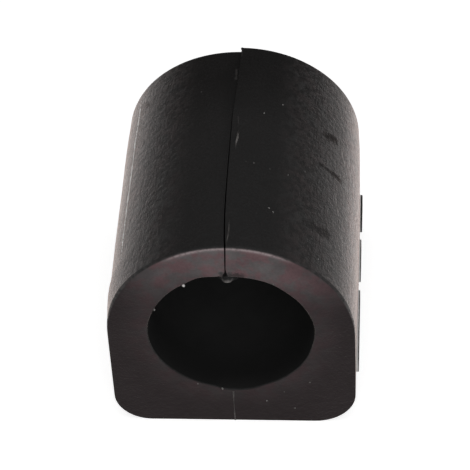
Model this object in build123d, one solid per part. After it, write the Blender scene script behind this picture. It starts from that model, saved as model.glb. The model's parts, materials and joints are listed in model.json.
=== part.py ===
from build123d import *
import math
import os

# A one-piece moulded rubber bushing for a sway bar, with a D-shaped section.
# The origin is on the bore's axis, halfway along it. +Z is up, away from the flat base.
# The bore runs along Y, and its front end is at -Y, with the left side at -X.
# All sizes are in millimetres, and angles in degrees.

# Section
TOP_RADIUS = 21.5            # outside of the half-round top, and half the width over the sides
BASE_DEPTH = 23.4            # from the bore's axis down to the flat base
LEFT_CORNER_RADIUS = 6.4     # bottom corner on the left
RIGHT_CORNER_RADIUS = 7.4    # bottom corner on the right, a little fuller
LENGTH = 48.8                # along the bore

# Bore, in the free state
BORE_RADIUS = 14.4           # a close grip on the bar once the bracket is drawn down

# Small edge breaks
END_EDGE_RADIUS = 0.4        # rounding of the outer edge of both end faces
BORE_MOUTH_BEVEL = 0.25      # bevel at both mouths of the bore

# Slit through the top wall, cut with a blade so that the bushing can be opened over the bar.
# Its path is seen from above, as offsets to the right of the bore's axis.
SLIT_FRONT_OFFSET = -0.15
SLIT_MIDDLE_OFFSET = -0.55
SLIT_REAR_OFFSET = 0.4
SLIT_FRONT_WIDTH = 0.3
SLIT_REAR_WIDTH = 0.12       # the lips have closed on each other towards the back
SLIT_LEAN = 2.5              # tilt of the blade from upright, towards the right at the top

# The right lip of the slit has sprung up above the left one, from nothing at the front
RIGHT_LIP_RISE = 1.0         # step between the lips at the back

CUT_MARGIN = 2.0             # how far a cutting shape runs past the surface that it cuts


def d_section():
    """The outline across the bore: half-round top, flat sides and base, rounded corners."""
    with BuildSketch(Plane.XZ) as section:
        with BuildLine():
            top = CenterArc((0, 0), TOP_RADIUS, 0, 180)
            Polyline(
                top @ 1,
                (-TOP_RADIUS, -BASE_DEPTH),
                (TOP_RADIUS, -BASE_DEPTH),
                top @ 0,
            )
        make_face()
        corners = section.vertices().group_by(Axis.Y)[0].sort_by(Axis.X)
        fillet(corners[-1], RIGHT_CORNER_RADIUS)
        corners = section.vertices().group_by(Axis.Y)[0].sort_by(Axis.X)
        fillet(corners[0], LEFT_CORNER_RADIUS)
    return section.sketch.face()


def round_end_edges(body):
    """The body, with the outer edge of both end faces rounded."""
    ends = body.faces().sort_by(Axis.Y)
    return fillet(ends[0].edges() + ends[-1].edges(), END_EDGE_RADIUS)


def level_body():
    """The section drawn straight from end to end."""
    return round_end_edges(extrude(d_section(), LENGTH / 2, both=True))


def climbing_body():
    """A body like the level one, whose round top climbs towards the back on taller sides."""
    with BuildSketch(Plane.YZ) as side:
        with BuildLine():
            Polyline(
                (-LENGTH / 2, 0),
                (-LENGTH / 2, -BASE_DEPTH),
                (LENGTH / 2, -BASE_DEPTH),
                (LENGTH / 2, RIGHT_LIP_RISE),
                close=True,
            )
        make_face()
    sides = extrude(side.sketch.face(), TOP_RADIUS, both=True)
    climb = math.degrees(math.atan2(RIGHT_LIP_RISE, LENGTH))
    top = Cylinder(TOP_RADIUS, LENGTH + 2 * CUT_MARGIN, rotation=(climb - 90, 0, 0))
    top = Pos(0, 0, RIGHT_LIP_RISE / 2) * top
    between_ends = Box(4 * TOP_RADIUS, LENGTH, 4 * TOP_RADIUS)
    return round_end_edges(sides + (top & between_ends))


def blade_path(side):
    """The blade's way seen from above: its middle at side 0, its left and right faces at -1, 1."""
    front_shift = side * SLIT_FRONT_WIDTH / 2
    rear_shift = side * SLIT_REAR_WIDTH / 2
    middle_shift = (front_shift + rear_shift) / 2
    return ThreePointArc(
        (SLIT_FRONT_OFFSET + front_shift, -LENGTH / 2 - CUT_MARGIN),
        (SLIT_MIDDLE_OFFSET + middle_shift, 0),
        (SLIT_REAR_OFFSET + rear_shift, LENGTH / 2 + CUT_MARGIN),
    )


def blade_shift():
    """How far to the right the leaning blade comes between the bore's axis and the top."""
    return TOP_RADIUS * math.tan(math.radians(SLIT_LEAN))


def raised_along_blade(left, right):
    """A solid between two paths, from the height of the bore's axis up past the top."""
    lean = math.radians(SLIT_LEAN)
    height = TOP_RADIUS + RIGHT_LIP_RISE + CUT_MARGIN
    with BuildSketch(Plane((-blade_shift(), 0, 0))) as plan:
        with BuildLine():
            add(left)
            add(right)
            Line(left @ 0, right @ 0)
            Line(left @ 1, right @ 1)
        make_face()
    direction = (math.sin(lean), 0, math.cos(lean))
    return extrude(plan.sketch.face(), height / math.cos(lean), dir=direction)


def right_lip_space():
    """All that lies above the bore's axis and to the right of the middle of the cut."""
    middle = blade_path(0)
    far_x = TOP_RADIUS + blade_shift() + CUT_MARGIN
    far_side = Line((far_x, (middle @ 0).Y), (far_x, (middle @ 1).Y))
    return raised_along_blade(middle, far_side)


def outer_body():
    """The level body, with the climbing one in its place to the right of the cut."""
    space = right_lip_space()
    return (level_body() - space) + (climbing_body() & space)


def bore():
    """The round bore, from end to end."""
    return Cylinder(BORE_RADIUS, LENGTH + 2 * CUT_MARGIN, rotation=(90, 0, 0))


def bevel_bore_mouths(body):
    """The body, with a small bevel where the bore meets each end face."""
    circles = body.edges().filter_by(GeomType.CIRCLE)
    mouths = circles.filter_by(lambda edge: math.isclose(edge.radius, BORE_RADIUS))
    return chamfer(mouths, BORE_MOUTH_BEVEL)


def slit():
    """The cut itself, a thin curved slab that leans and narrows towards the back."""
    return raised_along_blade(blade_path(-1), blade_path(1))


def bushing():
    """The whole bushing, as one solid."""
    body = outer_body() - bore()
    body = bevel_bore_mouths(body)
    return body - slit()


os.makedirs("parts", exist_ok=True)
export_step(bushing().solid(), "parts/bushing.step")
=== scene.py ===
"""A one-piece moulded rubber sway bar bushing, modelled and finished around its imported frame."""

import json
import math
from collections import namedtuple
from types import SimpleNamespace

import bmesh
import bpy
from bpy.props import FloatProperty, FloatVectorProperty, IntProperty, PointerProperty
from mathutils import Matrix, Vector


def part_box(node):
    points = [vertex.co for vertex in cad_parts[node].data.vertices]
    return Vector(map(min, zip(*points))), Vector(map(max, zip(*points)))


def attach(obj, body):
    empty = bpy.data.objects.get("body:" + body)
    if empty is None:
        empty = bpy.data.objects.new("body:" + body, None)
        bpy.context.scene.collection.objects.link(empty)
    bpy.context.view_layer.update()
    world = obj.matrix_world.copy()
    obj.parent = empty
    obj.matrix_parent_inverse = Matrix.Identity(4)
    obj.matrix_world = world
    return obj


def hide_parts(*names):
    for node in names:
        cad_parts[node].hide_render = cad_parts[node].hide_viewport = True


bl_info = {
    "name": "Split rubber bushing",
    "version": (1, 0, 0),
    "blender": (4, 5, 0),
    "location": "3D View > Sidebar > Bushing",
    "description": "Builds a D-shaped moulded rubber bushing with its cut, mould lines and finish",
    "category": "Add Mesh",
}

# The frame: +Z up, the bore along Y with its front end at -Y, and the origin on the bore's axis
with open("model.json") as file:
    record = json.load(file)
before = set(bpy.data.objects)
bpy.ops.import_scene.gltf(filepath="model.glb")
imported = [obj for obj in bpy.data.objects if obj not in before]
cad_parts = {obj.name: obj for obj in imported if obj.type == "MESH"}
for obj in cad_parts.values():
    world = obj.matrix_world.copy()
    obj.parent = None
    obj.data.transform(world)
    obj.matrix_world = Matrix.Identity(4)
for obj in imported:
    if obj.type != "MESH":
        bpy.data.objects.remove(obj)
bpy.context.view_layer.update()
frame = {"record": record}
NODE = "bushing"
BODY = "root"
LOW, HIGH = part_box(NODE)
MM = 0.001
MOUNTS = {mount["name"]: mount for mount in frame["record"]["mounts"]}

# Sizes that come from the frame
HALF_LENGTH = HIGH.y
TOP_RADIUS = HIGH.x
BASE_DEPTH = -LOW.z
BORE_RADIUS = MOUNTS["bar_bore"]["dims"]["r_mm"] * MM

# The other sizes that the trees and the properties start from
LIP_RISE = 1.0 * MM
CUT_WIDTH = 0.27 * MM
UNEVENNESS = 0.05 * MM
LINE_RADIUS = 0.13 * MM
BAR_HEIGHT = 3.0 * MM
BAR_RELIEF = 0.62 * MM
SEED = 7

# The way of the cut along the top, as (place along the bore, offset to the right), both in mm
CUT_PATH = (
    (-24.4, -0.13), (-22.6, -0.30), (-20.0, -0.42), (-17.0, -0.54), (-11.0, -0.60), (-5.0, -0.57),
    (4.0, -0.50), (8.5, -0.42), (11.5, -0.20), (16.0, 0.05), (24.4, 0.40),
)

# How far the cut stands open along the bore, as (place in mm, share of its full width)
CUT_OPENING = (
    (-24.4, 1.0), (-22.0, 0.75), (-15.0, 0.65), (0.0, 0.55), (9.0, 0.4), (12.5, 0.2), (24.4, 0.12),
)
CUT_CLOSING = 3.0 * MM    # how far behind the front the lips meet at the bore
CLOSED_SHARE = 0.9        # how much narrower the cut is there
LIP_REACH = math.radians(14)         # how far from the top the outside gives way to the cut
LIP_EDGE_REACH = math.radians(3)     # and to the notch

# The notch at the foot of the cut
NOTCH_START = 0.87
NOTCH_DEPTH = 2.5 * MM
NOTCH_HALF_WIDTH = 0.55 * MM

# How far the front mouth of the bore strays outwards, as (degrees up from the right, mm)
MOUTH_DRIFT = (
    (-180, 0.06), (-150, 0.1), (-122, 0.0), (-102, 0.12), (-98, 0.5), (-80, 0.62), (-68, 0.2),
    (-50, 0.18), (-30, 0.08), (-12, -0.05), (5, 0.15), (20, 0.02), (45, -0.1), (60, 0.05), (78, -0.1),
    (98, 0.0), (108, 0.33), (120, 0.02), (160, -0.13), (172, 0.07), (180, 0.06),
)
DRIFT_DEPTH = 3.0 * MM    # how far behind the front the mouth finds its true shape again

# How pale the rim of the end faces is, as painted highlight and rubbed wear, over the steps of its
# rounding and over the first of the face
RIM_HIGHLIGHT_AND_WEAR = (0.0, 0.0, 0.0, 0.05, 0.3, 0.8, 1.0)
FACE_HIGHLIGHT_AND_WEAR = (1.0, 0.45, 0.05)

# How much of the end rounding there is, at the front by degrees from the top, and elsewhere
FRONT_EDGE_SHARE = ((0, 1.0), (15, 1.1), (30, 1.5), (65, 1.5), (80, 0.8), (95, 0.25), (180, 0.2))
BASE_EDGE_SHARE = 0.05
REAR_EDGE_SHARE = 0.15

# How far each flat side bulges, as (place along the bore, outwards), both in mm
RIGHT_BULGE = (
    (-24.4, 0.0), (-12.0, 0.05), (-4.0, 0.14), (6.0, 0.22), (16.0, 0.2), (20.0, 0.12), (24.4, -0.1),
)
LEFT_BULGE = (
    (-24.4, 0.0), (-23.0, 0.05), (-20.5, 0.25), (-18.0, 0.35), (-15.5, 0.14), (-6.0, 0.13),
    (6.0, 0.03), (18.0, -0.05), (24.4, -0.25),
)
BULGE_POWER = 6           # how soon a bulge dies away over the round top

# Steps of the body's mesh
TOP_STEPS = 72            # over each half of the round top
SIDE_STEPS = 16
CORNER_STEPS = 14
BASE_STEPS = 48
OUTSIDE_STEPS = 110       # along the outside
BORE_STEPS = 60           # along the bore
FACE_STEPS = 26           # over an end face


# Properties: what a user would change


COLOUR = {"size": 3, "subtype": "COLOR"}


class BushingSizes(bpy.types.PropertyGroup):
    """Sizes of the rubber body and of the small marks that the mould left on it."""

    top_radius: FloatProperty(
        name="Top radius",
        description="Radius of the half-round top, and half the width over the sides",
        default=TOP_RADIUS,
        unit="LENGTH",
    )
    base_depth: FloatProperty(
        name="Base depth",
        description="From the axis of the bore down to the flat base",
        default=BASE_DEPTH,
        unit="LENGTH",
    )
    half_length: FloatProperty(
        name="Half length",
        description="From the middle of the bushing to either end face",
        default=HALF_LENGTH,
        unit="LENGTH",
    )
    bore_radius: FloatProperty(
        name="Bore radius", description="Radius of the bore for the bar", default=BORE_RADIUS, unit="LENGTH"
    )
    left_corner: FloatProperty(
        name="Left corner", description="Radius of the lower left corner", default=6.4 * MM, unit="LENGTH"
    )
    right_corner: FloatProperty(
        name="Right corner", description="Radius of the lower right corner", default=7.4 * MM, unit="LENGTH"
    )
    end_rounding: FloatProperty(
        name="End rounding",
        description="Radius of the edge between the outside and both end faces",
        default=0.4 * MM,
        unit="LENGTH",
    )
    mouth_rounding: FloatProperty(
        name="Mouth rounding",
        description="Radius of the edge between the bore and both end faces",
        default=0.25 * MM,
        unit="LENGTH",
    )
    lip_rise: FloatProperty(
        name="Lip rise",
        description="How far the right lip of the cut stands above the left one at the back",
        default=LIP_RISE,
        unit="LENGTH",
    )
    cut_width: FloatProperty(
        name="Cut width", description="Width of the cut at the front", default=CUT_WIDTH, unit="LENGTH"
    )
    cut_lean: FloatProperty(
        name="Cut lean",
        description="Tilt of the cut from upright, to the right at the top",
        default=math.radians(2.5),
        subtype="ANGLE",
    )
    unevenness: FloatProperty(
        name="Unevenness",
        description="How far the moulded skin wanders from its true shape",
        default=UNEVENNESS,
        unit="LENGTH",
    )
    line_radius: FloatProperty(
        name="Mould line", description="Half the width of a mould line", default=LINE_RADIUS, unit="LENGTH"
    )
    bar_height: FloatProperty(
        name="Bar height", description="Height of the raised bars", default=BAR_HEIGHT, unit="LENGTH"
    )
    bar_relief: FloatProperty(
        name="Bar relief", description="How far the bars stand out", default=BAR_RELIEF, unit="LENGTH"
    )
    seed: IntProperty(name="Seed", description="Seed of the ragged lines and of the crumbs", default=SEED)


class BushingColours(bpy.types.PropertyGroup):
    """Colours of the rubber and of the stage."""

    skin: FloatVectorProperty(
        name="Skin", description="Moulded rubber", default=(0.025, 0.0247, 0.0247), **COLOUR
    )
    end_face: FloatVectorProperty(
        name="End face", description="Rubber of the end faces", default=(0.026, 0.0195, 0.0208), **COLOUR
    )
    # The face bloom is also painted light, which makes the upper part of the end faces paler
    face_bloom_and_light: FloatVectorProperty(
        name="Face bloom", description="Bloom on the end faces", default=(0.212, 0.128, 0.137), **COLOUR
    )
    # The rim colour is a painted highlight along the top of the end faces' rim, with some rubbed wear
    rim: FloatVectorProperty(
        name="Rim", description="Rubbed rim of the end faces", default=(0.42, 0.35, 0.355), **COLOUR
    )
    # Grey bloom, also used as painted reflection towards both sides of the top
    bloom_and_light: FloatVectorProperty(
        name="Bloom", description="Grey bloom on the skin", default=(0.062, 0.053, 0.053), **COLOUR
    )
    bore: FloatVectorProperty(
        name="Bore", description="Rubber of the bore and the cut", default=(0.054, 0.054, 0.054), **COLOUR
    )
    # The flank colour is dust, and also painted reflection along both flanks
    flank: FloatVectorProperty(
        name="Flank", description="Warm pale film on both sides", default=(0.31, 0.235, 0.225), **COLOUR
    )
    # Also the painted highlight of the mould lines and of the tongue
    flash: FloatVectorProperty(
        name="Flash", description="Rubbed flash of the mould lines", default=(0.32, 0.3, 0.29), **COLOUR
    )
    # Also the brightest painted highlights on the lines, the tongue and over the bar roots; the large
    # crumbs are truly this pale
    palest: FloatVectorProperty(
        name="Palest", description="Worn flash and large crumbs", default=(0.92, 0.9, 0.88), **COLOUR
    )
    dust: FloatVectorProperty(
        name="Dust", description="Pale dust and small crumbs", default=(0.32, 0.31, 0.3), **COLOUR
    )
    floor: FloatVectorProperty(
        name="Floor", description="Floor of the stage", default=(0.8, 0.8, 0.8), **COLOUR
    )


# Helpers for trees of nodes


class Net:
    """Adds nodes to one tree, and gives each input that is named a value or a link."""

    def __init__(self, tree):
        self.tree = tree

    def node(self, kind, inputs=None, **settings):
        """A new node, with its settings and its inputs."""
        made = self.tree.nodes.new(kind)
        for name, value in settings.items():
            setattr(made, name, value)
        for key, value in (inputs or {}).items():
            self.join(value, made.inputs[key])
        return made

    def join(self, value, socket):
        """Links a socket, or sets a plain value."""
        if isinstance(value, bpy.types.NodeSocket):
            self.tree.links.new(value, socket)
        else:
            socket.default_value = value

    def maths(self, operation, *values, clamp=False):
        """The result of one calculation with numbers."""
        made = self.node("ShaderNodeMath", dict(enumerate(values)), operation=operation, use_clamp=clamp)
        return made.outputs[0]

    def times(self, first, second, clamp=False):
        """Two numbers multiplied."""
        return self.maths("MULTIPLY", first, second, clamp=clamp)

    def plus(self, first, second, clamp=False):
        """Two numbers added."""
        return self.maths("ADD", first, second, clamp=clamp)

    def minus(self, first, second):
        """One number less another."""
        return self.maths("SUBTRACT", first, second)

    def times_plus(self, first, second, third):
        """Two numbers multiplied, and a third added."""
        return self.maths("MULTIPLY_ADD", first, second, third)

    def vector(self, operation, *values, output=0):
        """The result of one calculation with vectors."""
        made = self.node("ShaderNodeVectorMath", dict(enumerate(values)), operation=operation)
        return made.outputs[output]

    def scaled(self, vector, amount):
        """A vector times a number."""
        return self.node("ShaderNodeVectorMath", {0: vector, "Scale": amount}, operation="SCALE").outputs[0]

    def parts(self, vector):
        """The three numbers of a vector."""
        return self.node("ShaderNodeSeparateXYZ", {0: vector}).outputs

    def between(self, low, high, value, start=0.0, end=1.0):
        """A smooth step of a value from start at low to end at high."""
        inputs = {"Value": value, 1: low, 2: high, 3: start, 4: end}
        return self.node("ShaderNodeMapRange", inputs, interpolation_type="SMOOTHSTEP").outputs[0]

    def mixed(self, factor, first, second):
        """A blend of two colours."""
        made = self.node("ShaderNodeMix", data_type="RGBA")
        inputs = {socket.identifier: socket for socket in made.inputs}
        for identifier, value in (("Factor_Float", factor), ("A_Color", first), ("B_Color", second)):
            self.join(value, inputs[identifier])
        return next(socket for socket in made.outputs if socket.identifier == "Result_Color")

    def noise(self, vector, scale, detail=2.0, roughness=0.5, distortion=0.0):
        """A soft noise of about 0 to 1."""
        inputs = {"Vector": vector, "Scale": scale, "Detail": detail, "Roughness": roughness}
        return self.node("ShaderNodeTexNoise", {**inputs, "Distortion": distortion}).outputs["Fac"]

    def attribute(self, name, data_type="FLOAT"):
        """A named attribute inside a geometry tree."""
        made = self.node("GeometryNodeInputNamedAttribute", {"Name": name}, data_type=data_type)
        return made.outputs["Attribute"]

    def group(self, tree, inputs, output="Mask"):
        """An output of a group that is placed here with its own values."""
        return self.node("ShaderNodeGroup", inputs, node_tree=tree).outputs[output]

    def stored(self, name):
        """A named attribute inside a material."""
        return self.node("ShaderNodeAttribute", attribute_name=name).outputs["Fac"]

    def place(self):
        """Where each point of the geometry is."""
        return self.node("GeometryNodeInputPosition").outputs[0]

    def mesh_of(self, holder):
        """The mesh of an object that a geometry tree is given."""
        return self.node("GeometryNodeObjectInfo", {"Object": holder}).outputs["Geometry"]

    def curve_of(self, holder):
        """The path of an object that a geometry tree is given."""
        return self.node("GeometryNodeMeshToCurve", {"Mesh": self.mesh_of(holder)}).outputs[0]

    def realized(self, geometry):
        """The geometry with its instances made real."""
        return self.node("GeometryNodeRealizeInstances", {"Geometry": geometry}).outputs[0]

    def painted(self, geometry, material, **chosen):
        """The geometry with a material, all over or where a Selection says."""
        inputs = {"Geometry": geometry, "Material": material, **chosen}
        return self.node("GeometryNodeSetMaterial", inputs).outputs[0]


# The kind of socket that takes each kind of plain value
SOCKET_KINDS = {float: "Float", int: "Int", tuple: "Vector"}


def new_tree(name, tree_kind, inputs, outputs):
    """The net, given values and results of a tree; an input has its start value, or else its kind."""
    tree = bpy.data.node_groups.new(name, tree_kind)
    for label, start in inputs.items():
        kind = SOCKET_KINDS.get(type(start), start)
        socket = tree.interface.new_socket(label, in_out="INPUT", socket_type="NodeSocket" + kind)
        if kind != start:
            socket.default_value = start
    for label, kind in outputs.items():
        tree.interface.new_socket(label, in_out="OUTPUT", socket_type="NodeSocket" + kind)
    net = Net(tree)
    return net, net.node("NodeGroupInput").outputs, net.node("NodeGroupOutput").inputs


def shape_tree(name, inputs):
    """A geometry tree that gives out one mesh."""
    return new_tree(name, "GeometryNodeTree", inputs, {"Mesh": "Geometry"})


def mask_group(name, inputs, outputs=("Mask",)):
    """A shader node group that gives out masks."""
    return new_tree(name, "ShaderNodeTree", inputs, {label: "Float" for label in outputs})


def path_object(name, points, rows, closed=False):
    """A chain of points joined by edges, each with a row of values for a tree to read."""
    edges = [(i, i + 1) for i in range(len(points) - 1)]
    if closed:
        edges.append((len(points) - 1, 0))
    mesh = bpy.data.meshes.new(name)
    mesh.from_pydata([tuple(point) for point in points], edges, [])
    for label in rows[0]:
        values = [row[label] for row in rows]
        if isinstance(values[0], Vector):
            layer = mesh.attributes.new(label, "FLOAT_VECTOR", "POINT")
            layer.data.foreach_set("vector", [number for value in values for number in value])
        else:
            layer = mesh.attributes.new(label, "FLOAT", "POINT")
            layer.data.foreach_set("value", values)
    return placed(name, mesh)


def placed(name, mesh):
    """A new object with a mesh, in the scene."""
    holder = bpy.data.objects.new(name, mesh)
    bpy.context.scene.collection.objects.link(holder)
    return holder


def grown(name, tree, values, finish_with=None):
    """An object with a plain mesh of what the tree makes from these values."""
    holder = placed(name, bpy.data.meshes.new(name))
    modifier = holder.modifiers.new(tree.name, "NODES")
    modifier.node_group = tree
    for item in tree.interface.items_tree:
        if item.in_out == "INPUT" and item.name in values:
            modifier[item.identifier] = values[item.name]
    if finish_with:
        finish_with(holder)
    graph = bpy.context.evaluated_depsgraph_get()
    mesh = bpy.data.meshes.new_from_object(holder.evaluated_get(graph))
    holder.modifiers.clear()
    holder.data = mesh
    mesh.name = name
    for value in values.values():
        if isinstance(value, bpy.types.Object):
            bpy.data.objects.remove(value)
    return holder


def dress(piece, sharp_from, material=None):
    """Shades a piece smooth apart from its sharp edges, and gives it its body, slot and material."""
    piece.data.shade_smooth()
    piece.data.set_sharp_from_angle(angle=math.radians(sharp_from))
    if material:
        piece.data.materials.clear()
        piece.data.materials.append(material)
    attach(piece, BODY)


# Numbers and curves through a few points


def even(count):
    """Shares from 0 to 1 in even steps."""
    return [k / count for k in range(count + 1)]


def clamped(value):
    """A value kept from 0 to 1."""
    return min(max(value, 0.0), 1.0)


def eased(points, place):
    """A smooth curve through (place, value) points, read at one place."""
    places = [point[0] for point in points]
    values = [point[1] for point in points]
    last = len(points) - 1
    if place <= places[0]:
        return values[0]
    if place >= places[last]:
        return values[last]
    i = max(k for k in range(last) if places[k] <= place)

    def slope(k):
        before, after = max(k - 1, 0), min(k + 1, last)
        return (values[after] - values[before]) / (places[after] - places[before])

    span = places[i + 1] - places[i]
    t = (place - places[i]) / span
    rise = values[i + 1] - values[i]
    start, end = slope(i) * span, slope(i + 1) * span
    return values[i] + t * (start + t * (3 * rise - 2 * start - end + t * (start + end - 2 * rise)))


def cut_offset(y):
    """How far the cut lies to the right of the bore's axis at the top, in metres."""
    return eased(CUT_PATH, y / MM) * MM


def lip_height(sizes, y):
    """How far the right lip stands above the left one at that place along the bore."""
    return sizes.lip_rise * (y + sizes.half_length) / (2 * sizes.half_length)


# The rubber body


def fine_to_coarse(count, power=1.5):
    """Shares from 0 to 1, with short steps first."""
    return [(k / count) ** power for k in range(count + 1)]


def arc(centre_x, centre_z, radius, start, end, shares):
    """Points of an arc across the bore, from one angle to another, in degrees."""
    points = []
    for share in shares:
        angle = math.radians(start + (end - start) * share)
        points.append(Vector((centre_x + radius * math.cos(angle), 0, centre_z + radius * math.sin(angle))))
    return points


def outline(sizes):
    """The outside across the bore, from the right lip clockwise round to the left lip."""
    radius, depth = sizes.top_radius, sizes.base_depth
    right, left = sizes.right_corner, sizes.left_corner
    quarter, side, corner = fine_to_coarse(TOP_STEPS), even(SIDE_STEPS)[1:], even(CORNER_STEPS)
    points = arc(0, 0, radius, 90, 0, quarter)
    side_end = Vector((radius, 0, right - depth))
    points += [points[-1].lerp(side_end, share) for share in side]
    points += arc(radius - right, right - depth, right, 0, -90, corner)[1:]
    base_end = Vector((left - radius, 0, -depth))
    points += [points[-1].lerp(base_end, share) for share in even(BASE_STEPS)[1:]]
    points += arc(left - radius, left - depth, left, -90, -180, corner)[1:]
    left_top = Vector((-radius, 0, 0))
    points += [points[-1].lerp(left_top, share) for share in side]
    points += arc(0, 0, radius, 90, 180, quarter)[-2::-1]
    return points


def flank_share(sizes, x):
    """How much of a side's bulge there is at an offset from the middle."""
    return (abs(x) / sizes.top_radius) ** BULGE_POWER


def behind(sizes, point, side):
    """What a point of the outline has to know about the wall behind it; the right half's side is 1."""
    wall = sizes.top_radius - sizes.bore_radius
    lean = wall * math.tan(sizes.cut_lean) / sizes.bore_radius
    from_top = math.atan2(abs(point.x), point.z)
    near_top = max(0.0, math.cos(min(from_top, math.pi / 2))) ** 2
    angle = math.atan2(point.z, point.x)
    facing = angle + lean * near_top
    low_end = sizes.right_corner - sizes.base_depth
    sunk = clamped((low_end - point.z) / sizes.right_corner)
    flank = flank_share(sizes, point.x) * (1 - sunk)
    edge = eased(FRONT_EDGE_SHARE, math.degrees(from_top))
    return {
        "bore_point": Vector((math.cos(facing), 0, math.sin(facing))) * sizes.bore_radius,
        "follow": near_top,
        "lip": side * max(0.0, 1 - from_top / LIP_REACH) ** 2,
        "lip_edge": side * max(0.0, 1 - from_top / LIP_EDGE_REACH) ** 2,
        "climb": clamped((point.z - low_end) / -low_end) if side > 0 else 0.0,
        "mouth_drift": eased(MOUTH_DRIFT, math.degrees(angle)) * MM,
        "front_edge": edge * (1 - sunk) + BASE_EDGE_SHARE * sunk,
        "right_flank": flank if point.x > 0 else 0.0,
        "left_flank": flank if point.x < 0 else 0.0,
        "cut_wall": 0.0,
    }


def wall_path(sizes):
    """The outline, with what each of its points has to know; both of its ends are a wall of the cut."""
    points = outline(sizes)
    half = len(points) // 2
    rows = [behind(sizes, point, 1 if i < half else -1) for i, point in enumerate(points)]
    rows[0]["cut_wall"] = rows[-1]["cut_wall"] = 1.0
    return path_object("wall path", points, rows)


# A spot on one turn over the wall along the bore: its place along Y, its share of the way in from the
# outside to the bore, its inset, how much of an end face it is, and its rim's painted highlight and wear
Spot = namedtuple("Spot", "y share inset face rim")


def wall_turn(sizes):
    """The spots of one turn over the wall: the outside, the back face, the bore and the front face."""
    half, outer, mouth = sizes.half_length, sizes.end_rounding, sizes.mouth_rounding
    spots = []

    def straight(reach, steps, share):
        for k in range(1, steps):
            spots.append(Spot(reach * (2 * k / steps - 1), share, 0, 0.0, 0.0))

    def turn(radius, share, end, going_in):
        steps = len(RIM_HIGHLIGHT_AND_WEAR) - 1
        for k in range(steps + 1):
            step = k if going_in else steps - k
            angle = math.pi / 2 * step / steps
            y = end * (half - radius + radius * math.sin(angle))
            inset = radius * (1 - math.cos(angle)) * (1 if share == 0 else -1)
            spots.append(Spot(y, share, inset, math.sin(angle), RIM_HIGHLIGHT_AND_WEAR[step] if share == 0 else 0.0))

    def face(end, outward):
        for k in range(1, FACE_STEPS):
            from_rim = FACE_STEPS - k if outward else k
            share = from_rim / FACE_STEPS
            rim = FACE_HIGHLIGHT_AND_WEAR[from_rim] if from_rim < len(FACE_HIGHLIGHT_AND_WEAR) else 0.0
            spots.append(Spot(end * half, share, outer * (1 - share) - mouth * share, 1.0, rim))

    straight(half - outer, OUTSIDE_STEPS, 0)
    turn(outer, 0, 1, going_in=True)
    face(1, outward=False)
    turn(mouth, 1, 1, going_in=False)
    straight(mouth - half, BORE_STEPS, 1)
    turn(mouth, 1, -1, going_in=True)
    face(-1, outward=True)
    turn(outer, 0, -1, going_in=False)
    return spots


def mouth_share(sizes, spot):
    """How much of the front mouth's drift there is at a spot."""
    if spot.share == 1:
        return max(0.0, 1 - (spot.y + sizes.half_length) / DRIFT_DEPTH) ** 2
    return spot.share**8 if spot.y < 0 else 0.0


def rounded_off(sizes, spot):
    """How far the outer rounding takes a spot in, towards the bore and along it."""
    if spot.share == 1 or spot.face == 0:
        return 0.0, 0.0
    if spot.share == 0:
        return spot.inset, math.copysign(sizes.half_length, spot.y) - spot.y
    return sizes.end_rounding * (1 - spot.share), 0.0


def along_wall(sizes, spot):
    """What a spot on the turn over the wall has to know about its place along the bore."""
    edge_inset, edge_fill = rounded_off(sizes, spot)
    outside = (1 - spot.share) * MM
    return {
        "cut_angle": cut_offset(spot.y) / sizes.top_radius,
        "opening": cut_opening(sizes, spot),
        "rise_share": (spot.y + sizes.half_length) / (2 * sizes.half_length),
        "end_face": spot.face,
        "rim": spot.rim,
        "at_front": float(spot.y < 0),
        "bore_wall": float(spot.share == 1) * (1 - spot.face),
        "notch": foot_notch(sizes, spot),
        "mouth_share": mouth_share(sizes, spot),
        "edge_inset": edge_inset,
        "edge_fill": edge_fill,
        "right_bulge": eased(RIGHT_BULGE, spot.y / MM) * outside,
        "left_bulge": eased(LEFT_BULGE, spot.y / MM) * outside,
    }


def wall_loop(sizes):
    """The turn over the wall as a closed path, whose points hold their place, share and inset."""
    spots = wall_turn(sizes)
    rows = [along_wall(sizes, spot) for spot in spots]
    return path_object("wall loop", [spot[:3] for spot in spots], rows, closed=True)


def cut_opening(sizes, spot):
    """The share of its full width by which the cut stands open, less towards the bore behind the front."""
    behind_front = min((spot.y + sizes.half_length) / CUT_CLOSING, 1.0)
    return eased(CUT_OPENING, spot.y / MM) * (1 - CLOSED_SHARE * behind_front * spot.share)


def foot_notch(sizes, spot):
    """How much wider the cut is at its foot, where it opens into the front mouth of the bore."""
    inwards = clamped((spot.share - NOTCH_START) / (1 - NOTCH_START))
    behind_front = (spot.y + sizes.half_length) / NOTCH_DEPTH
    return NOTCH_HALF_WIDTH * inwards * max(0.0, 1 - behind_front)


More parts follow.
